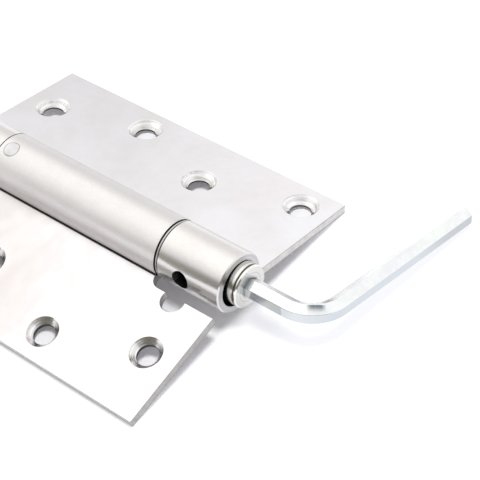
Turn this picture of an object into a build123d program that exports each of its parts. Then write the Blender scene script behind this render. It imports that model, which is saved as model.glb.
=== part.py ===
from build123d import *
import math
import os

# An adjustable spring hinge with one barrel, and the hex key that winds it left in its adjuster.
# Millimetres. X runs along the barrel towards the adjuster, Y towards the back leaf and Z up.
# The origin is on the barrel's axis, at the middle of the hinge's length.

os.makedirs("parts", exist_ok=True)

# Leaves
hinge_length = 101.6
leaf_reach = 44.2
sheet = 2.5
face_drop = 0.75
leaf_slope = 11.3
edge_gap = 3.0
tongue_land = 0.1

# Screw holes, in two staggered rows along each leaf
screw_count = 4
screw_end_inset = 8.9
outer_row_inset = 7.8
inner_row_inset = 16.9
screw_radius = 3.0
back_sink_radius = 5.05
front_sink_radius = 4.5
sink_angle = 90

# Barrel, rolled from the leaves
barrel_radius = 8.3
knuckle_wall = 1.9
key_knuckle = 20.0
far_knuckle = 20.8
far_gap = 0.3
washer_thickness = 0.45
washer_gap = 0.45
washer_play = 0.4
washer_step = 0.15
end_break = 0.35
root_fillet = 1.4

# Seam where each roll's free end meets the face of its leaf
seam_gap = 0.2
seam_width = 0.5
seam_depth = 0.8

# Hole for the tension pin, and the notch in the front leaf that lets the pin in
pin_radius = 2.6
pin_hole_inset = 12.4
pin_angle = 172.5
notch_radius = 3.4
notch_inset = 1.0

# Fits
running = 0.05
clearance = 0.3
press = 0.02

# Adjuster, a loose turned plug that hangs a little off the barrel's axis
adjuster_play = 0.55
adjuster_lean = 22
adjuster_proud = 3.2
face_disc = 0.65
groove_width = 0.55
groove_depth = 0.7
adjuster_break = 0.3
index_holes = 5
index_floor = 3.45
socket_depth = 7.0

# Pivot tube between the key-end knuckle and the middle knuckle
tube_wall = 1.2
tube_in_knuckle = 4.3
tube_in_middle = 7.5

# Spring and what holds it
wire = 2.0
spring_turns = 12
spring_play = 0.5
driver_length = 6.0
driver_wall = 1.7
driver_pin_radius = 0.9
lug_height = 2.3
lug_angle = 24
anchor_length = 12.0
rod_play = 1.2
rod_socket = 1.8

# Far-end pivot and the flush rivets
journal_radius = 3.4
journal_length = 7.0
far_pivot_inset = 1.0
inner_disc = 0.8
rivet_radius = 2.2
rivet_depth = 2.0
rivet_stand = 0.05
anchor_rivet_inset = 3.5
anchor_rivet_angle = 102
far_rivet_inset = 9.0
far_rivet_angle = 90

# Hex key, three sixteenths of an inch across flats
key_sides = 6
key_flats = 4.76
key_play = 0.12
key_short_arm = 23.7
key_long_arm = 57.8
key_bend = 9.0
key_open_angle = 5
key_end_break = 0.35
key_end_gap = 0.5
table_gap = 0.15

# Places along the barrel
half = hinge_length / 2
key_joint = half - key_knuckle
far_joint = -half + far_knuckle
washer_start = key_joint - washer_play - washer_thickness
middle_key_end = washer_start - washer_gap
middle_far_end = far_joint + far_gap
pin_x = half - pin_hole_inset
anchor_rivet_x = middle_far_end + anchor_rivet_inset
far_rivet_x = -half + far_rivet_inset

# Places in a leaf's own frame, out from the barrel's axis and up from it
bore_radius = barrel_radius - knuckle_wall
edge_setback = barrel_radius + edge_gap
tongue_fillet = edge_gap - tongue_land
notch_centre = edge_setback + notch_inset
sheet_top = -face_drop
sheet_bottom = sheet_top - sheet
slope = math.radians(leaf_slope)
table = sheet_bottom * math.cos(slope) - leaf_reach * math.sin(slope)

# Adjuster and pivot tube, which follow the bore
adjuster_radius = bore_radius - adjuster_play
adjuster_shift = adjuster_play - running
adjuster_y = adjuster_shift * math.cos(math.radians(adjuster_lean))
adjuster_z = adjuster_shift * math.sin(math.radians(adjuster_lean))
adjuster_face = half + adjuster_proud
tube_key_end = key_joint + tube_in_knuckle
tube_middle_end = middle_key_end - tube_in_middle
tube_bore = bore_radius - running - tube_wall
adjuster_shoulder = tube_key_end + clearance

# Spring, and the driver and anchor at its ends
driver_key_end = tube_middle_end - clearance
driver_end = driver_key_end - driver_length
driver_radius = bore_radius - adjuster_shift - clearance
tail_radius = driver_radius - driver_wall
anchor_far_end = middle_far_end + clearance
anchor_end = anchor_far_end + anchor_length
spring_radius = bore_radius - spring_play - wire / 2
spring_start = anchor_end + clearance + wire / 2
spring_end = driver_end - clearance - wire / 2
spring_pitch = (spring_end - spring_start) / spring_turns
spring_inner = spring_radius - wire / 2
rod_radius = spring_inner - rod_play
anchor_lug_gap = math.degrees(clearance / spring_inner)
driver_lug_gap = math.degrees((clearance + adjuster_shift) / spring_inner)

# Hex key, one corner up: how far its long arm slopes down for its tip to reach the table
key_half_height = key_flats / 2 / math.cos(math.pi / key_sides)
key_drop = adjuster_z - (table + key_half_height + table_gap)
key_slope = math.asin(key_drop / (key_long_arm * math.cos(math.radians(key_open_angle))))
key_turn = 90 - key_open_angle
key_tangent = key_bend * math.tan(math.radians(key_turn) / 2)
key_out = (0, math.cos(key_slope), -math.sin(key_slope))


def leaf_plane(side, height=0.0):
    """A leaf's own plane: its X runs along the barrel, its Y outwards and its Z up from the screw face."""
    up = (0, side * math.sin(slope), math.cos(slope))
    return Plane(origin=(0, up[1] * height, up[2] * height), x_dir=(side, 0, 0), z_dir=up)


def section_plane(side, at):
    """The plane across a leaf at a distance along it: its X runs outwards and its Y up."""
    base = leaf_plane(side)
    return Plane(origin=base.from_local_coords((at, 0, 0)), x_dir=base.y_dir, z_dir=base.x_dir)


def cross_plane(at, y=0.0, z=0.0):
    """A plane across the barrel that faces the key end."""
    return Plane(origin=(at, y, z), x_dir=(0, 1, 0), z_dir=(1, 0, 0))


def radial_plane(at, angle, height=0.0, y=0.0, z=0.0):
    """A plane whose normal leaves a lengthwise axis at an angle from +Y, at a height above that axis."""
    out = (0, math.cos(math.radians(angle)), math.sin(math.radians(angle)))
    return Plane(
        origin=(at, y + out[1] * height, z + out[2] * height),
        x_dir=(1, 0, 0),
        z_dir=out,
    )


def leaf_blank(side, spans, sink_radius):
    """A leaf rolled from sheet: a flat plate with its screw holes, and a knuckle over each span."""
    plate_width = leaf_reach - edge_setback
    tongue = edge_setback - bore_radius
    with BuildPart() as blank:
        with BuildSketch(leaf_plane(side, sheet_bottom)) as plate:
            with Locations((0, edge_setback + plate_width / 2)):
                Rectangle(hinge_length, plate_width)
            for start, end in spans:
                with Locations(((start + end) / 2, edge_setback - tongue / 2)):
                    Rectangle(end - start, tongue)
            for at in [at for span in spans for at in span if abs(at) < half - tongue_fillet]:
                fillet(plate.vertices().sort_by_distance((at, edge_setback))[0], tongue_fillet)
        extrude(amount=sheet)

        # Knuckles: a roll round the axis whose underside runs into the plate by a fillet
        root = math.sqrt(barrel_radius**2 - sheet_bottom**2)
        for start, end in spans:
            with BuildSketch(section_plane(side, start)) as knuckle:
                Circle(barrel_radius)
                with Locations((edge_setback / 2, sheet_top - sheet / 2)):
                    Rectangle(edge_setback, sheet)
                fillet(knuckle.vertices().sort_by_distance((root, sheet_bottom))[0], root_fillet)
            extrude(amount=end - start)
        with BuildSketch(section_plane(side, -half)):
            Circle(bore_radius)
        extrude(amount=hinge_length, mode=Mode.SUBTRACT)

        # Seam: the slit under the roll's free end, and the valley where the sheet bends away from it
        roll_end = sheet_top + seam_gap / 2
        inside = bore_radius - knuckle_wall
        for start, end in spans:
            with BuildSketch(section_plane(side, start)):
                with BuildLine():
                    Polyline(
                        (inside, roll_end),
                        (barrel_radius + seam_width / 3, roll_end + seam_gap),
                        (barrel_radius + seam_width, sheet_top),
                        (barrel_radius + seam_width / 8, sheet_top - seam_depth),
                        (inside, roll_end - seam_gap),
                        close=True,
                    )
                make_face()
            extrude(amount=end - start, mode=Mode.SUBTRACT)

        # Countersunk screw holes, outer row first
        first = half - screw_end_inset
        pitch = 2 * first / (screw_count - 1)
        for index in range(screw_count):
            inset = inner_row_inset if index % 2 else outer_row_inset
            with Locations(leaf_plane(side, sheet_top)):
                with Locations((first - index * pitch, leaf_reach - inset)):
                    CounterSinkHole(screw_radius, sink_radius, counter_sink_angle=sink_angle)
    return blank


# Back leaf, with the two end knuckles, the tension pin's hole and the far rivet's hole
with BuildPart() as back_leaf:
    add(leaf_blank(1, ((-half, far_joint), (key_joint, half)), back_sink_radius).part)
    with BuildSketch(radial_plane(pin_x, pin_angle)):
        Circle(pin_radius)
    extrude(amount=barrel_radius + knuckle_wall, mode=Mode.SUBTRACT)
    with BuildSketch(radial_plane(far_rivet_x, far_rivet_angle)):
        Circle(rivet_radius + press)
    extrude(amount=barrel_radius + knuckle_wall, mode=Mode.SUBTRACT)
    for end in (-1, 1):
        with BuildSketch(Plane.XY):
            with BuildLine():
                Polyline(
                    (end * half, barrel_radius - end_break),
                    (end * half, barrel_radius + end_break),
                    (end * (half - 2 * end_break), barrel_radius + end_break),
                    close=True,
                )
            make_face()
        revolve(axis=Axis.X, mode=Mode.SUBTRACT)
back_leaf.part.label = "back_leaf"
export_step(back_leaf.part, "parts/back_leaf.step")


# Front leaf, with the middle knuckle, the anchor rivet's hole and the round notch for the tension pin
with BuildPart() as front_leaf:
    add(leaf_blank(-1, ((-middle_key_end, -middle_far_end),), front_sink_radius).part)
    with BuildSketch(radial_plane(anchor_rivet_x, anchor_rivet_angle)):
        Circle(rivet_radius + press)
    extrude(amount=barrel_radius + knuckle_wall, mode=Mode.SUBTRACT)
    with BuildSketch(leaf_plane(-1, sheet_bottom - sheet)):
        with Locations((-pin_x, notch_centre)):
            Circle(notch_radius)
    extrude(amount=3 * sheet, mode=Mode.SUBTRACT)
front_leaf.part.label = "front_leaf"
export_step(front_leaf.part, "parts/front_leaf.step")


# Thrust washer between the middle knuckle and the key-end knuckle
with BuildPart() as thrust_washer:
    with BuildSketch(cross_plane(washer_start)):
        Circle(barrel_radius - washer_step)
        Circle(bore_radius, mode=Mode.SUBTRACT)
    extrude(amount=washer_thickness)
thrust_washer.part.label = "thrust_washer"
export_step(thrust_washer.part, "parts/thrust_washer.step")


# Pivot tube: held in the key-end knuckle, and the middle knuckle turns on it
with BuildPart() as pivot_tube:
    with BuildSketch(cross_plane(tube_middle_end)):
        Circle(bore_radius - running)
        Circle(tube_bore, mode=Mode.SUBTRACT)
    extrude(amount=tube_key_end - tube_middle_end)
    rims = pivot_tube.edges().filter_by(GeomType.CIRCLE).sort_by(SortBy.RADIUS)[-2:]
    chamfer(rims, end_break)
pivot_tube.part.label = "pivot_tube"
export_step(pivot_tube.part, "parts/pivot_tube.step")


# Tension adjuster: face disc, groove, body with its ring of index holes, and the tail that turns the spring
with BuildPart() as tension_adjuster:
    side_plane = Plane(origin=(0, adjuster_y, adjuster_z), x_dir=(1, 0, 0), z_dir=(0, -1, 0))
    groove_end = adjuster_face - face_disc
    with BuildSketch(side_plane):
        with BuildLine():
            Polyline(
                (driver_end, 0),
                (driver_end, tail_radius),
                (adjuster_shoulder, tail_radius),
                (adjuster_shoulder, adjuster_radius),
                (groove_end - groove_width, adjuster_radius),
                (groove_end - groove_width, adjuster_radius - groove_depth),
                (groove_end, adjuster_radius - groove_depth),
                (groove_end, adjuster_radius),
                (adjuster_face - adjuster_break, adjuster_radius),
                (adjuster_face, adjuster_radius - adjuster_break),
                (adjuster_face, 0),
                close=True,
            )
        make_face()
    revolve(axis=Axis((0, adjuster_y, adjuster_z), (1, 0, 0)))
    for index in range(index_holes):
        angle = pin_angle + index * 360 / index_holes
        with BuildSketch(radial_plane(pin_x, angle, index_floor, adjuster_y, adjuster_z)):
            Circle(pin_radius)
        extrude(amount=adjuster_radius - index_floor + clearance, mode=Mode.SUBTRACT)
    socket_floor = adjuster_face - socket_depth
    socket_plane = Plane(origin=(socket_floor, adjuster_y, adjuster_z), x_dir=key_out, z_dir=(1, 0, 0))
    with BuildSketch(socket_plane):
        RegularPolygon(key_flats / 2 + key_play, key_sides, major_radius=False, rotation=180 / key_sides)
    extrude(amount=socket_depth, mode=Mode.SUBTRACT)
    with BuildSketch(cross_plane(driver_end, adjuster_y, adjuster_z)):
        Circle(rod_radius + adjuster_shift + running)
    extrude(amount=rod_socket, mode=Mode.SUBTRACT)
    with BuildSketch(radial_plane(driver_end + driver_length / 2, 90, -tail_radius, adjuster_y, adjuster_z)):
        Circle(driver_pin_radius + press)
    extrude(amount=2 * tail_radius, mode=Mode.SUBTRACT)
tension_adjuster.part.label = "tension_adjuster"
export_step(tension_adjuster.part, "parts/tension_adjuster.step")


# Torsion spring of square wire, closed up between the anchor and the driver
with BuildPart() as torsion_spring:
    with BuildLine() as coil:
        Helix(
            spring_pitch,
            spring_end - spring_start,
            spring_radius,
            center=(spring_start, 0, 0),
            direction=(1, 0, 0),
        )
    coil_start = coil.line @ 0
    coil_end = coil.line @ 1
    start_angle = math.degrees(math.atan2(coil_start.Z, coil_start.Y))
    end_angle = math.degrees(math.atan2(coil_end.Z, coil_end.Y))
    with BuildSketch(Plane(origin=coil_start, x_dir=(1, 0, 0), z_dir=coil.line % 0)):
        Rectangle(wire, wire)
    sweep(is_frenet=True)
torsion_spring.part.label = "torsion_spring"
export_step(torsion_spring.part, "parts/torsion_spring.step")


# Spring driver: a collar on the adjuster's tail, with a lug that pushes the spring's end
with BuildPart() as spring_driver:
    with BuildSketch(cross_plane(driver_end, adjuster_y, adjuster_z)):
        Circle(driver_radius)
        Circle(tail_radius + press, mode=Mode.SUBTRACT)
    extrude(amount=driver_length)
    with BuildSketch(cross_plane(driver_end - lug_height, adjuster_y, adjuster_z)) as driver_lug:
        Circle(driver_radius)
        Circle(tail_radius + press, mode=Mode.SUBTRACT)
        with BuildLine(mode=Mode.PRIVATE) as wedge:
            first = math.radians(end_angle + driver_lug_gap)
            last = math.radians(end_angle + driver_lug_gap + lug_angle)
            Polyline(
                (0, 0),
                (2 * bore_radius * math.cos(first), 2 * bore_radius * math.sin(first)),
                (2 * bore_radius * math.cos(last), 2 * bore_radius * math.sin(last)),
                close=True,
            )
        make_face(wedge.edges(), mode=Mode.INTERSECT)
    extrude(amount=lug_height)
    with BuildSketch(radial_plane(driver_end + driver_length / 2, 90, -bore_radius, adjuster_y, adjuster_z)):
        Circle(driver_pin_radius + press)
    extrude(amount=2 * bore_radius, mode=Mode.SUBTRACT)
spring_driver.part.label = "spring_driver"
export_step(spring_driver.part, "parts/spring_driver.step")


# Cross pin that fixes the driver to the adjuster's tail
pin_half = driver_radius - end_break
with BuildPart() as driver_pin:
    with BuildSketch(radial_plane(driver_end + driver_length / 2, 90, -pin_half, adjuster_y, adjuster_z)):
        Circle(driver_pin_radius)
    extrude(amount=2 * pin_half)
driver_pin.part.label = "driver_pin"
export_step(driver_pin.part, "parts/driver_pin.step")


# Spring anchor: a plug riveted inside the middle knuckle, with a lug that holds the spring's other end
with BuildPart() as spring_anchor:
    with BuildSketch(cross_plane(anchor_far_end)):
        Circle(bore_radius - press)
    extrude(amount=anchor_length)
    with BuildSketch(cross_plane(anchor_end)):
        Circle(spring_radius + wire / 2)
        Circle(spring_inner, mode=Mode.SUBTRACT)
        with BuildLine(mode=Mode.PRIVATE) as wedge:
            first = math.radians(start_angle - anchor_lug_gap - lug_angle)
            last = math.radians(start_angle - anchor_lug_gap)
            Polyline(
                (0, 0),
                (2 * bore_radius * math.cos(first), 2 * bore_radius * math.sin(first)),
                (2 * bore_radius * math.cos(last), 2 * bore_radius * math.sin(last)),
                close=True,
            )
        make_face(wedge.edges(), mode=Mode.INTERSECT)
    extrude(amount=lug_height)
    with BuildSketch(cross_plane(anchor_far_end)):
        Circle(journal_radius + running)
    extrude(amount=journal_length + clearance, mode=Mode.SUBTRACT)
    with BuildSketch(cross_plane(anchor_end - rod_socket)):
        Circle(rod_radius + running)
    extrude(amount=rod_socket, mode=Mode.SUBTRACT)
    with BuildSketch(radial_plane(anchor_rivet_x, anchor_rivet_angle, bore_radius - rivet_depth)):
        Circle(rivet_radius + press)
    extrude(amount=rivet_depth, mode=Mode.SUBTRACT)
spring_anchor.part.label = "spring_anchor"
export_step(spring_anchor.part, "parts/spring_anchor.step")


# Guide rod inside the spring, trapped between the anchor and the adjuster's tail
rod_start = anchor_end - rod_socket + clearance / 2
rod_end = driver_end + rod_socket - clearance / 2
with BuildPart() as guide_rod:
    with BuildSketch(cross_plane(rod_start)):
        Circle(rod_radius)
    extrude(amount=rod_end - rod_start)
    chamfer(guide_rod.edges().filter_by(GeomType.CIRCLE), end_break)
guide_rod.part.label = "guide_rod"
export_step(guide_rod.part, "parts/guide_rod.step")


# Far pivot: a stepped plug riveted in the far knuckle, whose journal carries the spring anchor
pivot_start = -half + far_pivot_inset
disc_start = anchor_far_end - clearance / 2 - inner_disc
pivot_shoulder = disc_start - clearance / 2
with BuildPart() as far_pivot:
    with BuildSketch(cross_plane(pivot_start)):
        Circle(bore_radius - press)
    extrude(amount=pivot_shoulder - pivot_start)
    chamfer(far_pivot.edges().filter_by(GeomType.CIRCLE).sort_by(Axis.X)[0], 2 * end_break)
    with BuildSketch(cross_plane(pivot_shoulder)):
        Circle(journal_radius)
    extrude(amount=anchor_far_end + journal_length - pivot_shoulder)
    with BuildSketch(radial_plane(far_rivet_x, far_rivet_angle, bore_radius - rivet_depth)):
        Circle(rivet_radius + press)
    extrude(amount=rivet_depth, mode=Mode.SUBTRACT)
far_pivot.part.label = "far_pivot"
export_step(far_pivot.part, "parts/far_pivot.step")


# Inner thrust disc on the journal, between the far pivot's shoulder and the spring anchor
with BuildPart() as thrust_disc:
    with BuildSketch(cross_plane(disc_start)):
        Circle(bore_radius - clearance)
        Circle(journal_radius + running, mode=Mode.SUBTRACT)
    extrude(amount=inner_disc)
thrust_disc.part.label = "thrust_disc"
export_step(thrust_disc.part, "parts/thrust_disc.step")


# Flush rivets, with heads dressed off to the barrel's curve
for name, at, angle in (
    ("anchor_rivet", anchor_rivet_x, anchor_rivet_angle),
    ("far_rivet", far_rivet_x, far_rivet_angle),
):
    with BuildPart() as rivet:
        with BuildSketch(radial_plane(at, angle, bore_radius - rivet_depth + press)):
            Circle(rivet_radius)
        extrude(amount=2 * knuckle_wall + rivet_depth)
        with BuildSketch(cross_plane(at - 2 * rivet_radius)):
            Circle(barrel_radius + rivet_stand)
        extrude(amount=4 * rivet_radius, mode=Mode.INTERSECT)
    rivet.part.label = name
    export_step(rivet.part, f"parts/{name}.step")


# Hex key: a bent hexagonal bar, one corner up, with its short arm in the adjuster's socket
key_plane = Plane(
    origin=(0, adjuster_y, adjuster_z),
    x_dir=(1, 0, 0),
    z_dir=(0, math.sin(key_slope), math.cos(key_slope)),
)
key_start = socket_floor + key_end_gap
key_corner = half + key_short_arm
with BuildPart() as hex_key:
    with BuildLine(key_plane) as key_path:
        short_arm = Line((key_start, 0), (key_corner - key_tangent, 0))
        bend = JernArc(short_arm @ 1, (1, 0), key_bend, key_turn)
        PolarLine(bend @ 1, key_long_arm - key_tangent, key_turn)
    with BuildSketch(Plane(origin=(key_start, adjuster_y, adjuster_z), x_dir=key_out, z_dir=(1, 0, 0))):
        RegularPolygon(key_flats / 2, key_sides, major_radius=False, rotation=180 / key_sides)
    sweep()
    ends = hex_key.faces().filter_by(GeomType.PLANE).sort_by(SortBy.AREA)[:2]
    chamfer(ends.edges(), key_end_break)
hex_key.part.label = "hex_key"
export_step(hex_key.part, "parts/hex_key.step")
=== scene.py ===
"""The looks of an adjustable spring hinge that lies open on a white table with its hex key in the adjuster."""

import math

import bmesh
import bpy
from mathutils import Matrix, Vector


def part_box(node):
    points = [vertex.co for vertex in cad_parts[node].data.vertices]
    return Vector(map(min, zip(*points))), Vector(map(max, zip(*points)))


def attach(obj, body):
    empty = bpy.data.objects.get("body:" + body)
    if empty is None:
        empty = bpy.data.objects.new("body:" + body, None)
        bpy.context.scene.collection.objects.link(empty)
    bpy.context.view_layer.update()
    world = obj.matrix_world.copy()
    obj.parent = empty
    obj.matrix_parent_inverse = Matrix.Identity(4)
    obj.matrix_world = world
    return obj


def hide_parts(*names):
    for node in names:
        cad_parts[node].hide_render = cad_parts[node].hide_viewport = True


bl_info = {
    "name": "Adjustable spring hinge",
    "version": (1, 0, 0),
    "blender": (4, 5, 0),
    "location": "3D View > Sidebar > Hinge",
    "description": "Dresses a spring hinge and its hex key, and sets the table, the light and the camera",
    "category": "Add Mesh",
}

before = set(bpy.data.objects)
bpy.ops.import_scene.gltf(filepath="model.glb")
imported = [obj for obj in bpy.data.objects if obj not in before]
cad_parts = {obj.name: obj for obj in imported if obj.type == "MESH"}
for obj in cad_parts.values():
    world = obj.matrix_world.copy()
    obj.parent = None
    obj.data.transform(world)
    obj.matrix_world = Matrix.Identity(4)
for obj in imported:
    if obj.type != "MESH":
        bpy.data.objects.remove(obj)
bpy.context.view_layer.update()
MM = 0.001
WHITE = (1.0, 1.0, 1.0, 1.0)

# Places that the frame gives: the barrel lies along X through the origin, and the leaves slope away from it
BARREL_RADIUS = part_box("front_leaf")[1].z
HALF_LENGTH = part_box("back_leaf")[1].x
LEAF_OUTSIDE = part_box("back_leaf")[1].y
TABLE_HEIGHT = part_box("front_leaf")[0].z
KEY_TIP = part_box("hex_key")[1].y

# The adjuster: its axis and radius, the ends of its groove, and how far out the barrel hides it
ADJUSTER_LOW, ADJUSTER_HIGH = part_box("tension_adjuster")
ADJUSTER_AXIS = Vector((0, (ADJUSTER_LOW.y + ADJUSTER_HIGH.y) / 2, (ADJUSTER_LOW.z + ADJUSTER_HIGH.z) / 2))
ADJUSTER_RADIUS = (ADJUSTER_HIGH.y - ADJUSTER_LOW.y) / 2
GROOVE_START, GROOVE_END = ADJUSTER_HIGH.x - 1.24 * MM, ADJUSTER_HIGH.x - 0.61 * MM
HIDDEN_END = HALF_LENGTH - 5 * MM

# A leaf in its own frame: its slope, the heights of the sheet's two faces, and the screw places, given along the
# barrel and out from its axis
LEAF_SLOPE = math.radians(11.3)
SHEET_TOP, SHEET_BOTTOM = -0.75 * MM, -3.25 * MM
SCREW_PLACES = tuple(
    (along * MM, out * MM) for along, out in ((41.9, 36.4), (13.97, 27.3), (-13.97, 36.4), (-41.9, 27.3))
)
SINK_RADIUS = 5.05 * MM

# Where the flush rivets stand, as turns about the barrel from +Y over the top
RIVET_TURNS = {"anchor_rivet": math.radians(102), "far_rivet": math.radians(90)}

# Limits for working on a copied mesh: what counts as touching, as one point, as flat, as round and as an edge
TOUCH = 0.1 * MM
MERGE_DISTANCE = 0.0005 * MM
FLAT_ANGLE = math.radians(0.6)
ROUND_ANGLE = math.radians(30)
EDGE_ANGLE = math.radians(35)

# How squarely a face has to look one way to belong to that side
LOOKS_OUT_OF_BARREL = 0.5
LOOKS_ALONG_BARREL = 0.8
LOOKS_UP_OR_DOWN = 0.95
LOOKS_INTO_SINK = 0.4
LOOKS_AT_KEY = 0.9

# Painted reflections and shadow on the key: the dark patch on its bend, with the bar's and the flat's directions, and
# where the painted marks by the socket lie
BEND_MIDDLE = Vector((73.0, 2.8, 2.2)) * MM
BEND_ALONG = Vector((0.74, 0.66, -0.1)).normalized()
BEND_ACROSS = Vector((-0.54, 0.76, 0.39)).normalized()
SOCKET_END = ADJUSTER_HIGH.x
SOCKET_REFLECTION_EDGE = 66.4 * MM
BEND_REFLECTION_BLUE = (0.10, 0.13, 0.16, 1.0)

# Directions, from the hinge, of the lamp, of the studio's two bright sides and of its dark camera side
TOWARDS_LAMP = Vector((0.18, 0.0, 0.98)).normalized()
TOWARDS_BRIGHT = Vector((-0.53, 0.05, 0.85)).normalized()
TOWARDS_WINDOW = Vector((0.35, 0.85, 0.40)).normalized()
TOWARDS_CAMERA = Vector((0.42, -0.91, 0.0)).normalized()

# Angles from those directions, in degrees, at which each side begins and at which it is full
BRIGHT_ANGLES = (48, 8)
WINDOW_ANGLES = (62, 36)
CAMERA_ANGLES = (66, 58)

# Colours of those sides and of the rest of the studio, and the level of its light on the object
BRIGHT_COLOUR = (1.42, 1.42, 1.41, 1.0)
WINDOW_COLOUR = (1.12, 1.12, 1.13, 1.0)
CAMERA_COLOUR = (0.19, 0.185, 0.15, 1.0)
WALL_COLOUR = (0.95, 0.95, 0.96, 1.0)
STUDIO_LIGHT = (0.42, 0.42, 0.42, 1.0)

# The table's own glow, which keeps its shadows short: under the hinge and around it, then what is added about the
# key and far away
GLOW_UNDER, GLOW_AROUND = 0.06, 0.69
GLOW_AT_KEY, GLOW_FAR = 0.10, 0.35

# The camera: the width of its sensor in millimetres, and the nearest thing that it sees
SENSOR_WIDTH = 36.0
NEAREST_SEEN = 10 * MM


class HingeSizes(bpy.types.PropertyGroup):
    """Sizes of the small edge breaks that the finish of each piece needs."""

    leaf_edge: bpy.props.FloatProperty(
        name="Leaf edge",
        description="Width of the worn edge of the stamped leaves",
        default=0.14 * MM,
        unit="LENGTH",
        precision=5,
    )
    adjuster_edge: bpy.props.FloatProperty(
        name="Adjuster edge",
        description="Width of the edge break on the turned adjuster",
        default=0.10 * MM,
        unit="LENGTH",
        precision=5,
    )
    key_edge: bpy.props.FloatProperty(
        name="Key edge",
        description="Width of the rounded edges between the key's flats",
        default=0.13 * MM,
        unit="LENGTH",
        precision=5,
    )
    small_edge: bpy.props.FloatProperty(
        name="Washer and rivet edge",
        description="Width of the edge break on the washer and the rivets",
        default=0.08 * MM,
        unit="LENGTH",
        precision=5,
    )


class HingeColours(bpy.types.PropertyGroup):
    """Colours of the metals and of the table."""

    leaf_steel: bpy.props.FloatVectorProperty(
        name="Leaf steel",
        description="Satin stainless steel of the leaves",
        subtype="COLOR",
        default=(0.80, 0.785, 0.79),
        min=0.0,
        max=1.0,
    )
    end_knuckle: bpy.props.FloatVectorProperty(
        name="End knuckles",
        description="Brighter steel of the back leaf's two end knuckles",
        subtype="COLOR",
        default=(0.80, 0.775, 0.75),
        min=0.0,
        max=1.0,
    )
    middle_knuckle: bpy.props.FloatVectorProperty(
        name="Middle knuckle",
        description="Duller steel of the front leaf's long knuckle",
        subtype="COLOR",
        default=(0.87, 0.84, 0.825),
        min=0.0,
        max=1.0,
    )
    cut_steel: bpy.props.FloatVectorProperty(
        name="Cut steel",
        description="Sheared edges of the leaves",
        subtype="COLOR",
        default=(0.60, 0.59, 0.57),
        min=0.0,
        max=1.0,
    )
    plating: bpy.props.FloatVectorProperty(
        name="Adjuster plating",
        description="Warm nickel plating of the adjuster",
        subtype="COLOR",
        default=(0.87, 0.86, 0.82),
        min=0.0,
        max=1.0,
    )
    key_plating: bpy.props.FloatVectorProperty(
        name="Key plating",
        description="Bright bluish zinc plating of the hex key",
        subtype="COLOR",
        default=(0.89, 0.905, 0.91),
        min=0.0,
        max=1.0,
    )
    table: bpy.props.FloatVectorProperty(
        name="Table",
        description="White table under the hinge",
        subtype="COLOR",
        default=(0.93, 0.93, 0.95),
        min=0.0,
        max=1.0,
    )


class PhotoView(bpy.types.PropertyGroup):
    """The camera of the photograph."""

    heading: bpy.props.FloatProperty(
        name="Heading",
        description="Compass turn of the view from +Y towards +X",
        default=math.radians(-46.077),
        subtype="ANGLE",
    )
    pitch: bpy.props.FloatProperty(
        name="Pitch",
        description="How far the camera looks down",
        default=math.radians(46.195),
        subtype="ANGLE",
    )
    roll: bpy.props.FloatProperty(
        name="Roll",
        description="Turn of the camera about its own line of sight",
        default=math.radians(-9.386),
        subtype="ANGLE",
    )
    distance: bpy.props.FloatProperty(
        name="Distance",
        description="From the camera to the point that it looks at",
        default=396.626 * MM,
        unit="LENGTH",
    )
    focal_length: bpy.props.FloatProperty(
        name="Focal length",
        description="Focal length on a sensor 36 mm wide",
        default=116.604,
        unit="CAMERA",
    )
    aim: bpy.props.FloatVectorProperty(
        name="Aim",
        description="Point in the barrel's plane that the camera looks at",
        default=(41.610 * MM, 11.585 * MM, 0.0),
        subtype="TRANSLATION",
    )


class StageSettings(bpy.types.PropertyGroup):
    """The table, and the one lamp over it."""

    table_radius: bpy.props.FloatProperty(
        name="Table radius",
        description="Radius of the round table top",
        default=3.0,
        unit="LENGTH",
    )
    lamp_distance: bpy.props.FloatProperty(
        name="Lamp distance",
        description="From the hinge to the softbox",
        default=1.2,
        unit="LENGTH",
    )
    lamp_size: bpy.props.FloatProperty(
        name="Lamp size",
        description="Width of the round softbox, which sets how soft the shadows are",
        default=0.36,
        unit="LENGTH",
    )
    lamp_power: bpy.props.FloatProperty(
        name="Lamp power",
        description="Power of the softbox",
        default=9.0,
        unit="POWER",
    )


# Node helpers


def new_group(name, inputs, outputs):
    """A node group with float, vector or colour sockets, and its two end nodes."""
    kinds = {"float": "NodeSocketFloat", "vector": "NodeSocketVector", "colour": "NodeSocketColor"}
    group = bpy.data.node_groups.new(name, "ShaderNodeTree")
    for socket, kind, default in inputs:
        made = group.interface.new_socket(socket, in_out="INPUT", socket_type=kinds[kind])
        if default is not None:
            made.default_value = default
    for socket, kind in outputs:
        group.interface.new_socket(socket, in_out="OUTPUT", socket_type=kinds[kind])
    start = group.nodes.new("NodeGroupInput")
    end = group.nodes.new("NodeGroupOutput")
    return group, start, end


def feed(tree, node, links):
    """Gives a node's inputs their values, or links them to the sockets given instead."""
    for socket, value in links:
        if isinstance(value, bpy.types.NodeSocket):
            tree.links.new(value, node.inputs[socket])
        else:
            node.inputs[socket].default_value = value


def add(tree, kind, links=(), **settings):
    """A node with its settings, and its inputs given as (socket, value or other socket)."""
    node = tree.nodes.new(kind)
    for name, value in settings.items():
        setattr(node, name, value)
    feed(tree, node, links)
    return node


def maths(tree, operation, first, second=None, third=None):
    """The result socket of a Math node."""
    values = [(i, v) for i, v in enumerate((first, second, third)) if v is not None]
    return add(tree, "ShaderNodeMath", values, operation=operation).outputs[0]


def hypotenuse(tree, first, second):
    """How far two distances at a right angle reach together."""
    square = maths(tree, "MULTIPLY", second, second)
    return maths(tree, "SQRT", maths(tree, "MULTIPLY_ADD", first, first, square))


def vector_maths(tree, operation, first, second):
    """The vector socket of a Vector Math node."""
    return add(tree, "ShaderNodeVectorMath", ((0, first), (1, second)), operation=operation).outputs[0]


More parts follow.
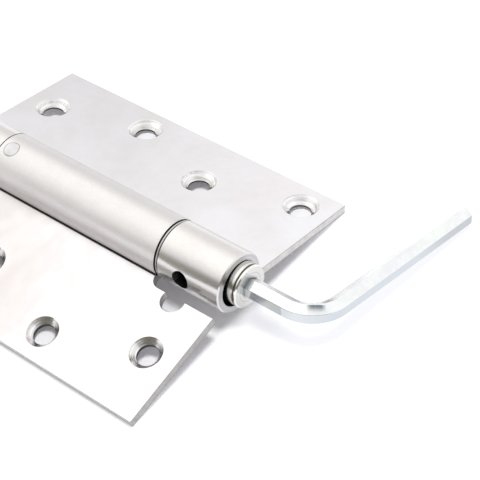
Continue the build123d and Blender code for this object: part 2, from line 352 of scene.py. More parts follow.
def dot(tree, vector, direction):
    """How far a vector reaches in a direction."""
    node = add(tree, "ShaderNodeVectorMath", ((0, vector), (1, direction)), operation="DOT_PRODUCT")
    return node.outputs["Value"]


def scaled(tree, colour, factor):
    """A colour made darker or lighter by the value of a socket."""
    return add(tree, "ShaderNodeVectorMath", ((0, colour), (3, factor)), operation="SCALE").outputs[0]


def split(tree, vector):
    """The X, Y and Z sockets of a vector."""
    return tuple(add(tree, "ShaderNodeSeparateXYZ", ((0, vector),)).outputs)


def joined(tree, *parts):
    """The socket of a vector made from its parts, with zero for those not given."""
    return add(tree, "ShaderNodeCombineXYZ", enumerate(parts)).outputs[0]


def spread(tree, value, low, high, new_low=0.0, new_high=1.0):
    """A value brought from one range to another, eased and held inside it."""
    node = add(
        tree,
        "ShaderNodeMapRange",
        (("Value", value), ("From Min", low), ("From Max", high), ("To Min", new_low), ("To Max", new_high)),
        interpolation_type="SMOOTHSTEP",
    )
    return node.outputs["Result"]


def blend_colours(tree, factor, first, second, mode="MIX"):
    """The result socket of a colour Mix node."""
    links = ((0, factor), (6, first), (7, second))
    return add(tree, "ShaderNodeMix", data_type="RGBA", blend_type=mode, links=links).outputs[2]


def filtered(tree, colour, tint):
    """A colour seen through a tint."""
    return blend_colours(tree, 1.0, colour, tint, "MULTIPLY")


def noise(tree, vector, scale, detail=2.0, roughness=0.5):
    """The strength socket of a Noise Texture."""
    links = (("Vector", vector), ("Scale", scale), ("Detail", detail), ("Roughness", roughness))
    return add(tree, "ShaderNodeTexNoise", links).outputs["Fac"]


def rgba(colour, red=1.0, green=None, blue=None):
    """A colour with its alpha, made darker or lighter by one factor, or by one for each of its parts."""
    factors = (red, red if green is None else green, red if blue is None else blue)
    return tuple(min(1.0, part * factor) for part, factor in zip(colour, factors)) + (1.0,)


# Node groups that several metals share


def make_mottle():
    """Cloudy patches and fine pits, as on rolled and tumbled stainless sheet."""
    group, start, end = new_group(
        "sheet_mottle",
        (("Vector", "vector", None), ("Patch", "float", 70.0), ("Pits", "float", 2600.0)),
        (("Cloud", "float"), ("Tint", "float"), ("Height", "float")),
    )
    vector, patch = start.outputs["Vector"], start.outputs["Patch"]
    cloud = noise(group, vector, patch, detail=4.0, roughness=0.6)
    smudge = noise(group, vector, maths(group, "MULTIPLY", patch, 3.7), detail=3.0, roughness=0.55)
    both = maths(group, "MULTIPLY_ADD", smudge, 0.45, maths(group, "MULTIPLY", cloud, 0.75))
    elsewhere = vector_maths(group, "ADD", vector, (0.31, 0.17, 0.53))
    tint = noise(group, elsewhere, maths(group, "MULTIPLY", patch, 0.55))
    pits = noise(group, vector, start.outputs["Pits"], detail=3.0, roughness=0.7)
    group.links.new(spread(group, both, 0.38, 0.80), end.inputs["Cloud"])
    group.links.new(spread(group, tint, 0.35, 0.65), end.inputs["Tint"])
    group.links.new(pits, end.inputs["Height"])
    return group


def make_grain():
    """Fine lines that run along X, as left by drawing or rolling."""
    group, start, end = new_group(
        "drawn_grain",
        (("Vector", "vector", None), ("Lines", "float", 900.0), ("Stretch", "float", 0.04)),
        (("Streak", "float"), ("Height", "float")),
    )
    x, y, z = split(group, start.outputs["Vector"])
    lines = start.outputs["Lines"]
    stretched = joined(group, maths(group, "MULTIPLY", x, start.outputs["Stretch"]), y, z)
    fine = noise(group, stretched, lines, detail=3.0, roughness=0.6)
    broad = noise(group, stretched, maths(group, "MULTIPLY", lines, 0.22))
    group.links.new(spread(group, broad, 0.3, 0.7), end.inputs["Streak"])
    group.links.new(fine, end.inputs["Height"])
    return group


def make_turning():
    """Rings about a lengthwise axis, as left by a lathe tool on a face or by a countersink."""
    group, start, end = new_group(
        "turning_marks",
        (("Vector", "vector", None), ("Rings", "float", 3000.0)),
        (("Ring", "float"), ("Height", "float")),
    )
    x, y, z = split(group, start.outputs["Vector"])
    rings = start.outputs["Rings"]
    line = joined(group, hypotenuse(group, z, y), x)
    fine = noise(group, line, rings, roughness=0.6)
    broad = noise(group, line, maths(group, "MULTIPLY", rings, 0.3), detail=1.0)
    group.links.new(spread(group, broad, 0.32, 0.68), end.inputs["Ring"])
    group.links.new(fine, end.inputs["Height"])
    return group


def shared_group(name):
    """One of the shared node groups, built the first time that it is asked for."""
    makers = {"sheet_mottle": make_mottle, "drawn_grain": make_grain, "turning_marks": make_turning}
    return bpy.data.node_groups.get(name) or makers[name]()


# Materials


def start_metal(name, roughness, metallic=1.0):
    """A new material: its tree, its Principled shader and the Object coordinates."""
    material = bpy.data.materials.new(name)
    material.use_nodes = True
    tree = material.node_tree
    shader = tree.nodes["Principled BSDF"]
    shader.inputs["Metallic"].default_value = metallic
    shader.inputs["Roughness"].default_value = roughness
    place = add(tree, "ShaderNodeTexCoord").outputs["Object"]
    return material, tree, shader, place


def use_group(tree, name, **values):
    """A shared group placed in a material."""
    node = tree.nodes.new("ShaderNodeGroup")
    node.node_tree = shared_group(name)
    feed(tree, node, values.items())
    return node


def paint(tree, shader, colour, roughness=None):
    """Feeds a metal's colour, and its roughness where that changes over the surface."""
    tree.links.new(colour, shader.inputs["Base Color"])
    if roughness is not None:
        tree.links.new(roughness, shader.inputs["Roughness"])


def bump(tree, shader, height, strength, distance):
    """Lets a height move the surface's normal."""
    node = add(tree, "ShaderNodeBump", (("Strength", strength), ("Distance", distance), ("Height", height)))
    tree.links.new(node.outputs[0], shader.inputs["Normal"])


def leaf_steel_material(colours):
    """Satin stainless sheet with faint pink and lavender clouds, painted light that grows towards the key end, and a
    darker, warmer painted shade on the front leaf's far end.
    """
    material, tree, shader, place = start_metal("leaf_steel", 0.32)
    mottle = use_group(tree, "sheet_mottle", Vector=place)
    cloud = mottle.outputs["Cloud"]
    x, y, _ = split(tree, place)
    steel = colours.leaf_steel
    pink, lavender = rgba(steel, 1.0, 0.99, 1.0), rgba(steel, 0.985, 1.0, 1.01)
    tinted = blend_colours(tree, mottle.outputs["Tint"], pink, lavender)
    clouded = blend_colours(tree, cloud, rgba(steel, 0.94, 0.93, 0.935), tinted)
    # Painted light: the sheet is made steadily lighter towards the key end.
    painted_light_along_barrel = scaled(tree, clouded, spread(tree, x, -HALF_LENGTH, HALF_LENGTH, 0.98, 1.13))
    patches = spread(tree, noise(tree, place, 38.0, detail=1.0), 0.35, 0.65)
    patched = filtered(tree, painted_light_along_barrel, blend_colours(tree, patches, (0.965, 0.955, 0.95, 1.0), WHITE))
    # Painted shade: a darker, warmer tint over the front leaf's far end.
    on_front = spread(tree, y, 1 * MM, -1 * MM)
    at_far_end = maths(tree, "MULTIPLY", on_front, spread(tree, x, 26 * MM, -12 * MM))
    front_far_end_shade = blend_colours(tree, at_far_end, WHITE, (0.94, 0.915, 0.895, 1.0))
    paint(tree, shader, filtered(tree, patched, front_far_end_shade), spread(tree, cloud, 0.0, 1.0, 0.37, 0.29))
    bump(tree, shader, mottle.outputs["Height"], 0.10, 0.02 * MM)
    return material


def rivet_outline(tree, place):
    """A mask of the thin dark lines round the two flush rivets."""
    x = split(tree, place)[0]
    lines = []
    for node, turn in RIVET_TURNS.items():
        low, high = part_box(node)
        along = maths(tree, "SUBTRACT", x, (low.x + high.x) / 2)
        across = dot(tree, place, (0.0, math.sin(turn), -math.cos(turn)))
        off = maths(tree, "SUBTRACT", hypotenuse(tree, along, across), (high.x - low.x) / 2)
        lines.append(spread(tree, maths(tree, "ABSOLUTE", off), 0.08 * MM, 0.26 * MM, 1.0, 0.0))
    return maths(tree, "MAXIMUM", *lines)


def knuckle_steel_material(name, colour, roughness, patch, metallic, back_shade):
    """A rolled knuckle: speckled, faintly grained steel, shaded at the back, with dark lines round the rivets."""
    material, tree, shader, place = start_metal(name, roughness, metallic)
    mottle = use_group(tree, "sheet_mottle", Vector=place, Patch=patch)
    grain = use_group(tree, "drawn_grain", Vector=place)
    streak = grain.outputs["Streak"]
    streaked = blend_colours(tree, streak, rgba(colour, 0.96), rgba(colour))
    clouded = blend_colours(tree, mottle.outputs["Cloud"], rgba(colour, 0.93), streaked)
    speckle = spread(tree, noise(tree, place, 2600.0, detail=3.0, roughness=0.7), 0.3, 0.7, 0.95, 1.02)
    # Painted shade: the knuckle is made darker on its back, towards +Y, by back_shade.
    painted_back_shade = spread(tree, split(tree, place)[1], -0.5 * MM, 3.0 * MM, 1.0, back_shade)
    speckled = scaled(tree, clouded, maths(tree, "MULTIPLY", speckle, painted_back_shade))
    outlined = blend_colours(tree, rivet_outline(tree, place), speckled, rgba(colour, 0.5))
    paint(tree, shader, outlined, spread(tree, streak, 0.0, 1.0, roughness * 1.12, roughness * 0.88))
    bump(tree, shader, grain.outputs["Height"], 0.12, 0.02 * MM)
    return material


def leaf_height(tree, place):
    """How high a point lies in its leaf's own frame, for both leaves."""
    _, y, z = split(tree, place)
    outwards = maths(tree, "MULTIPLY", maths(tree, "ABSOLUTE", y), math.sin(LEAF_SLOPE))
    return maths(tree, "MULTIPLY_ADD", z, math.cos(LEAF_SLOPE), outwards)


def cut_steel_material(colours):
    """Sheared edges: torn steel between two dark lines, with painted light on the back leaf's end edges and painted
    shade on the front leaf's.
    """
    material, tree, shader, place = start_metal("cut_steel", 0.45)
    mottle = use_group(tree, "sheet_mottle", Vector=place, Patch=700.0, Pits=4000.0)
    x, y, _ = split(tree, place)
    steel = colours.cut_steel
    torn = blend_colours(tree, mottle.outputs["Cloud"], rgba(steel, 0.82), rgba(steel, 1.08))
    height = leaf_height(tree, place)
    top_line = spread(tree, height, SHEET_TOP - 0.30 * MM, SHEET_TOP - 0.12 * MM)
    bottom_line = spread(tree, height, SHEET_BOTTOM + 0.45 * MM, SHEET_BOTTOM + 0.15 * MM)
    at_end = spread(tree, maths(tree, "ABSOLUTE", x), HALF_LENGTH - 0.5 * MM, HALF_LENGTH - 0.2 * MM)
    # Painted light and shade: the back leaf's end edges are made lighter, the front leaf's darker.
    on_back = spread(tree, y, -1 * MM, 1 * MM)
    end_painted_light_and_shade = blend_colours(tree, on_back, (0.78, 0.78, 0.77, 1.0), (1.16, 1.16, 1.16, 1.0))
    toned = filtered(tree, torn, blend_colours(tree, at_end, WHITE, end_painted_light_and_shade))
    lines = maths(tree, "MAXIMUM", top_line, bottom_line)
    paint(tree, shader, blend_colours(tree, lines, toned, rgba(steel, 0.55)))
    bump(tree, shader, mottle.outputs["Height"], 0.35, 0.04 * MM)
    return material


def sink_steel_material(colours):
    """Countersinks, bright from the cutter, with its rings and chatter."""
    material, tree, shader, place = start_metal("sink_steel", 0.2)
    wander = maths(tree, "MULTIPLY", split(tree, place)[0], 0.06)
    line = joined(tree, leaf_height(tree, place), wander)
    turning = use_group(tree, "turning_marks", Vector=line, Rings=5200.0)
    mottle = use_group(tree, "sheet_mottle", Vector=place, Patch=320.0, Pits=4000.0)
    ring = turning.outputs["Ring"]
    steel = colours.leaf_steel
    ringed = blend_colours(tree, ring, rgba(steel, 0.66, 0.65, 0.58), rgba(steel, 1.2))
    shaded = blend_colours(tree, mottle.outputs["Cloud"], rgba(steel, 1.02), ringed)
    paint(tree, shader, shaded, spread(tree, ring, 0.0, 1.0, 0.24, 0.13))
    bump(tree, shader, turning.outputs["Height"], 0.5, 0.06 * MM)
    return material


def turned_material(name, colour, roughness, rings=3000.0, centre=(0, 0, 0), strength=0.2):
    """A turned metal with rings about the barrel's axis, or about a line beside it."""
    material, tree, shader, place = start_metal(name, roughness)
    turning = use_group(tree, "turning_marks", Vector=vector_maths(tree, "SUBTRACT", place, centre), Rings=rings)
    ring = turning.outputs["Ring"]
    shaded = blend_colours(tree, ring, rgba(colour, 0.80), rgba(colour, 1.05))
    paint(tree, shader, shaded, spread(tree, ring, 0.0, 1.0, roughness * 1.25, roughness * 0.85))
    bump(tree, shader, turning.outputs["Height"], strength, 0.03 * MM)
    return material


def bend_painted_reflection(tree, place):
    """A mask of the painted dark blue reflection on the bend's upper flat, darkest along its top edge."""
    from_middle = vector_maths(tree, "SUBTRACT", place, BEND_MIDDLE)
    along = dot(tree, from_middle, BEND_ALONG)
    across = dot(tree, from_middle, BEND_ACROSS)
    length = spread(tree, maths(tree, "ABSOLUTE", along), 2.7 * MM, 1.2 * MM)
    rising = spread(tree, across, -1.4 * MM, 0.6 * MM)
    ending = spread(tree, across, 0.95 * MM, 0.7 * MM)
    streaks = spread(tree, noise(tree, joined(tree, along), 4200.0, detail=3.0), 0.3, 0.7, 0.7, 1.0)
    return maths(tree, "MULTIPLY", maths(tree, "MULTIPLY", length, streaks), maths(tree, "MULTIPLY", rising, ending))


def key_plating_material(colours):
    """Bright zinc on a drawn bar, near a mirror, with painted shade on its lower flats and towards the end of the long
    arm, a painted shadow in the socket's mouth, and painted reflections by the socket and on the bend.
    """
    material, tree, shader, place = start_metal("key_plating", 0.14)
    mottle = use_group(tree, "sheet_mottle", Vector=place, Patch=160.0, Pits=1200.0)
    cloud = mottle.outputs["Cloud"]
    x, y, _ = split(tree, place)
    _, facing_y, facing_z = split(tree, add(tree, "ShaderNodeTexCoord").outputs["Normal"])
    zinc = colours.key_plating
    tinted = blend_colours(tree, mottle.outputs["Tint"], rgba(zinc, 0.98, 1.0, 0.95), rgba(zinc))
    clouded = blend_colours(tree, cloud, rgba(zinc, 0.90), tinted)
    # Painted shade: the flats that face sideways or down are made darker.
    lower = spread(tree, facing_z, 0.35, 0.05)
    lower_flats_painted_shade = blend_colours(tree, lower, clouded, rgba(zinc, 0.66, 0.69, 0.71))
    # Painted reflection: a dark, ragged patch on the front flats just past the socket.
    ragged = maths(tree, "MULTIPLY_ADD", noise(tree, place, 1500.0, detail=3.0), 1.6 * MM, x)
    near_socket = spread(tree, ragged, SOCKET_REFLECTION_EDGE + 0.2 * MM, SOCKET_REFLECTION_EDGE)
    towards_front = spread(tree, facing_y, -0.7, -0.9)
    fading = spread(tree, x, SOCKET_REFLECTION_EDGE - 8.4 * MM, SOCKET_REFLECTION_EDGE - 4 * MM)
    socket_painted_reflection = maths(tree, "MULTIPLY", maths(tree, "MULTIPLY", near_socket, fading), towards_front)
    painted_at_socket = blend_colours(tree, socket_painted_reflection, lower_flats_painted_shade, rgba(zinc, 0.55, 0.56, 0.54))
    # Painted shadow in the socket's mouth, on all but the lower flats.
    in_mouth = spread(tree, x, SOCKET_END + 1.6 * MM, SOCKET_END + 0.3 * MM)
    shadowed = maths(tree, "MULTIPLY", in_mouth, maths(tree, "SUBTRACT", 1.0, lower))
    painted_at_socket = blend_colours(tree, shadowed, painted_at_socket, rgba(zinc, 0.42, 0.45, 0.48))
    # Painted shade on the lower flats towards the end of the long arm.
    tip = maths(tree, "MULTIPLY", spread(tree, y, KEY_TIP - 24 * MM, KEY_TIP - 8 * MM), lower)
    tip_painted_shade = blend_colours(tree, tip, painted_at_socket, rgba(zinc, 0.55, 0.57, 0.58))
    # Painted reflection: the dark blue patch on the bend.
    shaded = blend_colours(tree, bend_painted_reflection(tree, place), tip_painted_shade, BEND_REFLECTION_BLUE)
    paint(tree, shader, shaded, spread(tree, cloud, 0.0, 1.0, 0.2, 0.12))
    bump(tree, shader, mottle.outputs["Height"], 0.12, 0.05 * MM)
    return material


def plain_material(name, dark, light, roughness, patch=200.0, strength=0.2, depth=0.03 * MM, metallic=1.0):
    """A plain finish that wanders between two colours, for what is hidden or hardly seen."""
    material, tree, shader, place = start_metal(name, roughness, metallic)
    mottle = use_group(tree, "sheet_mottle", Vector=place, Patch=patch)
    paint(tree, shader, blend_colours(tree, mottle.outputs["Cloud"], dark, light))
    bump(tree, shader, mottle.outputs["Height"], strength, depth)
    return material


def plain_metal_material(name, colour, roughness):
    """A small or unseen part's metal, with the same patches as the rest."""
    return plain_material(name, rgba(colour, 0.8), rgba(colour), roughness)


def bore_painted_shade_material(colours):
    """Bores and hole walls, painted very dark as the shade inside them."""
    dark, light = rgba(colours.cut_steel, 0.06), rgba(colours.cut_steel, 0.14)
    return plain_material("painted_bore_shade", dark, light, 0.5, patch=300.0, strength=0.3, depth=0.04 * MM)


def nylon_material():
    """Off-white moulded nylon."""
    dark, light = (0.62, 0.60, 0.54, 1.0), (0.74, 0.72, 0.66, 1.0)
    return plain_material("nylon", dark, light, 0.45, patch=150.0, strength=0.1, metallic=0.0)


def table_material(colours):
    """A matt white table that glows more away from the hinge, so that its shadows stay near the metal."""
    material, tree, shader, place = start_metal("table_white", 0.9, metallic=0.0)
    shader.inputs["Specular IOR Level"].default_value = 0.0
    x, y, _ = split(tree, place)
    beyond_end = maths(tree, "SUBTRACT", maths(tree, "ABSOLUTE", x), HALF_LENGTH)
    beyond_side = maths(tree, "SUBTRACT", maths(tree, "ABSOLUTE", y), LEAF_OUTSIDE)
    beyond = maths(tree, "MAXIMUM", beyond_end, beyond_side)
    outside = spread(tree, beyond, -4 * MM, 3 * MM)
    near = blend_colours(tree, noise(tree, place, 6.0), rgba(colours.table, 0.99), rgba(colours.table))
    paint(tree, shader, blend_colours(tree, outside, near, rgba(colours.table, 0.42)))
    around = spread(tree, outside, 0.0, 1.0, GLOW_UNDER, GLOW_AROUND)
    about_key = spread(tree, beyond, 6 * MM, 18 * MM, 0.0, GLOW_AT_KEY)
    far_away = spread(tree, beyond, 60 * MM, 450 * MM, 0.0, GLOW_FAR)
    glow = maths(tree, "ADD", around, maths(tree, "ADD", about_key, far_away))
    bluish = maths(tree, "MULTIPLY", glow, 1.04)
    shown = add(tree, "ShaderNodeCombineColor", ((0, glow), (1, glow), (2, bluish))).outputs[0]
    tree.links.new(shown, shader.inputs["Emission Color"])
    shader.inputs["Emission Strength"].default_value = 1.0
    return material


# Mesh helpers


def select_only(piece):
    """Makes one object the active one, with nothing else selected."""
    bpy.ops.object.select_all(action="DESELECT")
    piece.select_set(True)
    bpy.context.view_layer.objects.active = piece


def copy_of_node(node, name):
    """A new piece in a node's shape: its doubles merged, and the triangles of each flat face joined."""
    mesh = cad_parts[node].data.copy()
    mesh.materials.clear()
    piece = bpy.data.objects.new(name, mesh)
    bpy.context.scene.collection.objects.link(piece)
    select_only(piece)
    bpy.ops.mesh.customdata_custom_splitnormals_clear()
    bpy.ops.object.mode_set(mode="EDIT")
    bpy.ops.mesh.select_all(action="SELECT")
    bpy.ops.mesh.remove_doubles(threshold=MERGE_DISTANCE)
    bpy.ops.mesh.dissolve_limited(angle_limit=FLAT_ANGLE)
    bpy.ops.object.mode_set(mode="OBJECT")
    return piece


def soften(piece, width, steps=2):
    """Smooths the shading of what is round, and breaks the sharp edges with a narrow bevel."""
    select_only(piece)
    bpy.ops.object.shade_smooth_by_angle(angle=ROUND_ANGLE)
    bevel = piece.modifiers.new("edge_break", "BEVEL")
    bevel.width = width
    bevel.segments = steps
    bevel.limit_method = "ANGLE"
    bevel.angle_limit = EDGE_ANGLE
    bevel.harden_normals = True
    bpy.ops.object.modifier_apply(modifier=bevel.name)


def leaf_side(face, side):
    """Where a face's middle lies in a leaf's own frame, and how far the face looks up from the leaf."""
    middle = face.calc_center_median()
    outwards = side * middle.y
    y = outwards * math.cos(LEAF_SLOPE) - middle.z * math.sin(LEAF_SLOPE)
    z = outwards * math.sin(LEAF_SLOPE) + middle.z * math.cos(LEAF_SLOPE)
    up = side * face.normal.y * math.sin(LEAF_SLOPE) + face.normal.z * math.cos(LEAF_SLOPE)
    return Vector((side * middle.x, y, z)), up


def leaf_surface(face, side):
    """Names the finish that a face of a leaf has, from its place and from the way that it looks."""
    middle = face.calc_center_median()
    radius = middle.yz.length
    if radius < BARREL_RADIUS + TOUCH:
        outwards = face.normal.yz.dot(middle.yz) / max(radius, MM)
        if outwards > LOOKS_OUT_OF_BARREL:
            return "knuckle"
        return "ring" if abs(face.normal.x) > LOOKS_ALONG_BARREL else "bore"
    place, up = leaf_side(face, side)
    if abs(up) > LOOKS_UP_OR_DOWN:
        return "plate"
    for along, out in SCREW_PLACES:
        if math.hypot(place.x - along, place.y - out) < SINK_RADIUS + TOUCH:
            return "sink" if up > LOOKS_INTO_SINK else "bore"
    return "cut"


def paint_leaf(piece, side, materials):
    """Gives each face of a leaf the material of its own surface."""
    order = ("plate", "knuckle", "cut", "sink", "bore", "ring")
    for name in order:
        piece.data.materials.append(materials[name])
    work = bmesh.new()
    work.from_mesh(piece.data)
    for face in work.faces:
        face.material_index = order.index(leaf_surface(face, side))
    work.to_mesh(piece.data)
    work.free()


def adjuster_surface(face, reach):
    """Names the finish that a face of the adjuster has, from its place, the way it looks and how far out it reaches."""
    if reach < HIDDEN_END:
        return "inside"
    in_groove = GROOVE_START < face.center.x < GROOVE_END
    off_axis = (face.center - ADJUSTER_AXIS).yz.length
    looks_out = abs(face.normal.x) < LOOKS_OUT_OF_BARREL
    if in_groove and looks_out and off_axis < ADJUSTER_RADIUS - TOUCH:
        return "groove"
    if face.normal.x > LOOKS_AT_KEY and face.center.x > GROOVE_END:
        return "disc"
    return "plated"


def paint_adjuster(piece, materials):
    """Gives each face of the adjuster the material of its own surface."""
    order = tuple(materials)
    for material in materials.values():
        piece.data.materials.append(material)
    for face in piece.data.polygons:
        reach = max(piece.data.vertices[index].co.x for index in face.vertices)
        face.material_index = order.index(adjuster_surface(face, reach))


def dress_node(node, material):
    """Gives a CAD node that keeps its shape a new material."""
    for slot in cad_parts[node].material_slots:
        slot.link = "OBJECT"
        slot.material = material


# Operators


class HINGE_OT_leaves(bpy.types.Operator):
    """Make the two leaves with their knuckles, cut edges and countersinks"""

    bl_idname = "hinge.add_leaves"
    bl_label = "Add the leaves"

    def execute(self, context):
        sizes, colours = context.scene.hinge_sizes, context.scene.hinge_colours
        materials = {
            "plate": leaf_steel_material(colours),
            "cut": cut_steel_material(colours),
            "sink": sink_steel_material(colours),
            "bore": bore_painted_shade_material(colours),
            "ring": turned_material("knuckle_end", rgba(colours.leaf_steel, 0.72), 0.32, rings=2500.0),
        }
        end_knuckle = knuckle_steel_material(
            "end_knuckle_steel", colours.end_knuckle, roughness=0.23, patch=140.0, metallic=0.92, back_shade=0.97
        )
        middle_knuckle = knuckle_steel_material(
            "middle_knuckle_steel", colours.middle_knuckle, roughness=0.40, patch=90.0, metallic=0.68, back_shade=0.84
        )
        rows = (("back_leaf", "frame_side", 1, end_knuckle), ("front_leaf", "door_side", -1, middle_knuckle))
        for node, body, side, knuckle in rows:
            piece = copy_of_node(node, node + "_sheet")
            paint_leaf(piece, side, {**materials, "knuckle": knuckle})
            soften(piece, sizes.leaf_edge)
            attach(piece, body)
            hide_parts(node)
        return {"FINISHED"}


class HINGE_OT_washer_and_rivets(bpy.types.Operator):
    """Make the thrust washer and the two flush rivets"""

    bl_idname = "hinge.add_washer_and_rivets"
    bl_label = "Add the washer and rivets"

    def execute(self, context):
        sizes, colours = context.scene.hinge_sizes, context.scene.hinge_colours
        washer_steel = turned_material("washer_steel", rgba(colours.cut_steel, 1.1), 0.35)
        rivet_steel = plain_metal_material("rivet_steel", rgba(colours.leaf_steel, 0.84), 0.3)
        rows = (
            ("thrust_washer", "frame_side", washer_steel, "washer_steel"),
            ("anchor_rivet", "door_side", rivet_steel, "rivet_steel"),
            ("far_rivet", "frame_side", rivet_steel, "rivet_steel"),
        )
        for node, body, material, slot in rows:
            piece = copy_of_node(node, node + "_turned")
            piece.data.materials.append(material)
            soften(piece, sizes.small_edge)
            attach(piece, body)
            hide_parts(node)
        return {"FINISHED"}


class HINGE_OT_adjuster(bpy.types.Operator):
    """Make the turned adjuster with its face disc, groove and hex socket"""

    bl_idname = "hinge.add_adjuster"
    bl_label = "Add the adjuster"

    def execute(self, context):
        sizes, colours = context.scene.hinge_sizes, context.scene.hinge_colours
        grooved = {"rings": 6500.0, "strength": 0.3, "centre": ADJUSTER_AXIS}
        materials = {
            "plated": turned_material("adjuster_plating", colours.plating, 0.15, **grooved),
            # Painted shade: the part hidden in the barrel is near black, so the pin hole looks dark.
            "inside": plain_metal_material("adjuster_inside_shade", rgba(colours.cut_steel, 0.09), 0.4),
            "disc": turned_material("face_plating", rgba(colours.plating, 0.77), 0.2, **grooved),
            # Painted shade: the groove between the neck and the face disc is made dark.
            "groove": plain_metal_material("groove_painted_shade", rgba(colours.plating, 0.2), 0.4),
        }
        piece = copy_of_node("tension_adjuster", "tension_adjuster_turned")
        paint_adjuster(piece, materials)
        soften(piece, sizes.adjuster_edge)
        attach(piece, "adjuster")
        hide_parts("tension_adjuster")
        return {"FINISHED"}


class HINGE_OT_hex_key(bpy.types.Operator):
    """Make the hex key, a bent bar with six flats"""

    bl_idname = "hinge.add_hex_key"
    bl_label = "Add the hex key"

    def execute(self, context):
        sizes, colours = context.scene.hinge_sizes, context.scene.hinge_colours
        piece = copy_of_node("hex_key", "hex_key_bar")
        piece.data.materials.append(key_plating_material(colours))
        soften(piece, sizes.key_edge, steps=3)
        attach(piece, "key")
        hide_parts("hex_key")
        return {"FINISHED"}


class HINGE_OT_inner_parts(bpy.types.Operator):
    """Give the parts inside the barrel their metals"""

    bl_idname = "hinge.dress_inner_parts"
    bl_label = "Dress the inner parts"

    def execute(self, context):
        turned = turned_material("turned_steel", (0.55, 0.54, 0.53), 0.35)
        wire = plain_metal_material("spring_wire", (0.16, 0.15, 0.15), 0.4)
        pin = plain_metal_material("pin_steel", (0.5, 0.5, 0.5), 0.3)
        finishes = {
            "pivot_tube": turned,
            "far_pivot": turned,
            "spring_anchor": turned,
            "guide_rod": turned,
            "spring_driver": turned,
            "torsion_spring": wire,
            "driver_pin": pin,
            "thrust_disc": nylon_material(),
        }
        for node, material in finishes.items():
            dress_node(node, material)
        return {"FINISHED"}


class HINGE_OT_stage(bpy.types.Operator):
    """Set the table, the light and the camera of the photograph"""

    bl_idname = "hinge.set_stage"
    bl_label = "Set the stage"

    def execute(self, context):
        scene = context.scene
        add_table(scene.hinge_stage, scene.hinge_colours)
        add_light(scene, scene.hinge_stage)
        add_world(scene)
        add_camera(scene, scene.photo_view)
        scene.view_settings.view_transform = "Standard"
        return {"FINISHED"}


def add_table(stage, colours):
    """A round table top under the hinge."""
    bpy.ops.mesh.primitive_circle_add(
        vertices=96, radius=stage.table_radius, fill_type="NGON", location=(0, 0, TABLE_HEIGHT)
    )
    table = bpy.context.active_object
    table.name = "table"
    bpy.ops.object.transform_apply(location=True, rotation=False, scale=False)
    table.data.materials.append(table_material(colours))


def add_light(scene, stage):
    """One small softbox high over the barrel's key end, which draws the shadows."""
    lamp = bpy.data.lights.new("overhead_softbox", "AREA")
    lamp.shape = "DISK"
    lamp.size = stage.lamp_size
    lamp.energy = stage.lamp_power
    box = bpy.data.objects.new("overhead_softbox", lamp)
    scene.collection.objects.link(box)
    box.location = TOWARDS_LAMP * stage.lamp_distance
    box.rotation_mode = "QUATERNION"
    box.rotation_quaternion = TOWARDS_LAMP.to_track_quat("Z", "Y")
    box.visible_glossy = False


def glow_towards(tree, direction, towards, angles):
    """How near a direction is to another one, from 0 at the first angle to 1 at the second."""
    edge, core = (math.cos(math.radians(angle)) for angle in angles)
    return spread(tree, dot(tree, direction, towards), edge, core)


def add_world(scene):
    """The studio: white for the camera, softer as light, and shaped for what the metals mirror."""
    world = bpy.data.worlds.new("studio_white")
    world.use_nodes = True
    tree = world.node_tree
    background = tree.nodes["Background"]
    rays = add(tree, "ShaderNodeLightPath")
    mirrored = maths(tree, "MAXIMUM", rays.outputs["Is Glossy Ray"], rays.outputs["Is Transmission Ray"])
    direction = add(tree, "ShaderNodeTexCoord").outputs["Generated"]
    level = split(tree, direction)[2]
    under_top, over_floor = spread(tree, level, 0.66, 0.45), spread(tree, level, -0.12, 0.06)
    camera_side = glow_towards(tree, direction, TOWARDS_CAMERA, CAMERA_ANGLES)
    dark = maths(tree, "MULTIPLY", maths(tree, "MULTIPLY", under_top, over_floor), camera_side)
    window = glow_towards(tree, direction, TOWARDS_WINDOW, WINDOW_ANGLES)
    bright = glow_towards(tree, direction, TOWARDS_BRIGHT, BRIGHT_ANGLES)
    studio = blend_colours(tree, window, WALL_COLOUR, WINDOW_COLOUR)
    studio = blend_colours(tree, bright, studio, BRIGHT_COLOUR)
    studio = blend_colours(tree, dark, studio, CAMERA_COLOUR)
    seen = blend_colours(tree, rays.outputs["Is Camera Ray"], STUDIO_LIGHT, WHITE)
    tree.links.new(blend_colours(tree, mirrored, seen, studio), background.inputs["Color"])
    background.inputs["Strength"].default_value = 1.0
    scene.world = world


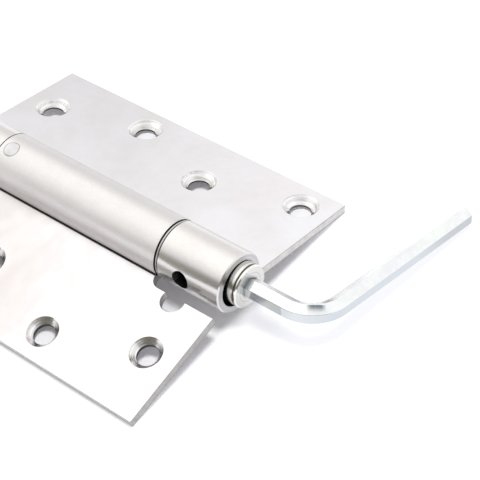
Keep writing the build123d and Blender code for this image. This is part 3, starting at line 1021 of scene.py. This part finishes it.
def add_camera(scene, photo):
    """The photograph's camera, from its heading, pitch, roll and distance."""
    flat = Vector((math.cos(photo.heading), -math.sin(photo.heading), 0))
    ahead = Vector(
        (
            math.sin(photo.heading) * math.cos(photo.pitch),
            math.cos(photo.heading) * math.cos(photo.pitch),
            -math.sin(photo.pitch),
        )
    )
    above = flat.cross(ahead)
    right = flat * math.cos(photo.roll) + above * math.sin(photo.roll)
    up = above * math.cos(photo.roll) - flat * math.sin(photo.roll)
    lens = bpy.data.cameras.new("photo_camera")
    lens.lens = photo.focal_length
    lens.sensor_width = SENSOR_WIDTH
    lens.clip_start = NEAREST_SEEN
    camera = bpy.data.objects.new("photo_camera", lens)
    scene.collection.objects.link(camera)
    turn = Matrix((right, up, -ahead)).transposed().to_4x4()
    camera.matrix_world = Matrix.Translation(Vector(photo.aim) - ahead * photo.distance) @ turn
    scene.camera = camera


class HINGE_PT_panel(bpy.types.Panel):
    """Lists the sizes, the colours and the steps"""

    bl_label = "Spring hinge"
    bl_idname = "HINGE_PT_panel"
    bl_space_type = "VIEW_3D"
    bl_region_type = "UI"
    bl_category = "Hinge"

    def draw(self, context):
        scene = context.scene
        for group in (scene.hinge_sizes, scene.hinge_colours, scene.hinge_stage, scene.photo_view):
            box = self.layout.box()
            for name in group.__annotations__:
                box.prop(group, name)
        for operator in OPERATORS:
            self.layout.operator(operator.bl_idname)


OPERATORS = (
    HINGE_OT_leaves,
    HINGE_OT_washer_and_rivets,
    HINGE_OT_adjuster,
    HINGE_OT_hex_key,
    HINGE_OT_inner_parts,
    HINGE_OT_stage,
)
CLASSES = (HingeSizes, HingeColours, PhotoView, StageSettings, *OPERATORS, HINGE_PT_panel)


def register():
    """Makes the classes known, and hangs their settings on the scene."""
    for item in CLASSES:
        bpy.utils.register_class(item)
    bpy.types.Scene.hinge_sizes = bpy.props.PointerProperty(type=HingeSizes)
    bpy.types.Scene.hinge_colours = bpy.props.PointerProperty(type=HingeColours)
    bpy.types.Scene.hinge_stage = bpy.props.PointerProperty(type=StageSettings)
    bpy.types.Scene.photo_view = bpy.props.PointerProperty(type=PhotoView)


def unregister():
    """Takes the settings and the classes away again, in the other order."""
    del bpy.types.Scene.photo_view
    del bpy.types.Scene.hinge_stage
    del bpy.types.Scene.hinge_colours
    del bpy.types.Scene.hinge_sizes
    for item in reversed(CLASSES):
        bpy.utils.unregister_class(item)


def main():
    """Builds everything in order."""
    register()
    bpy.ops.hinge.add_leaves()
    bpy.ops.hinge.add_washer_and_rivets()
    bpy.ops.hinge.add_adjuster()
    bpy.ops.hinge.add_hex_key()
    bpy.ops.hinge.dress_inner_parts()
    bpy.ops.hinge.set_stage()


if __name__ == "__main__":
    main()
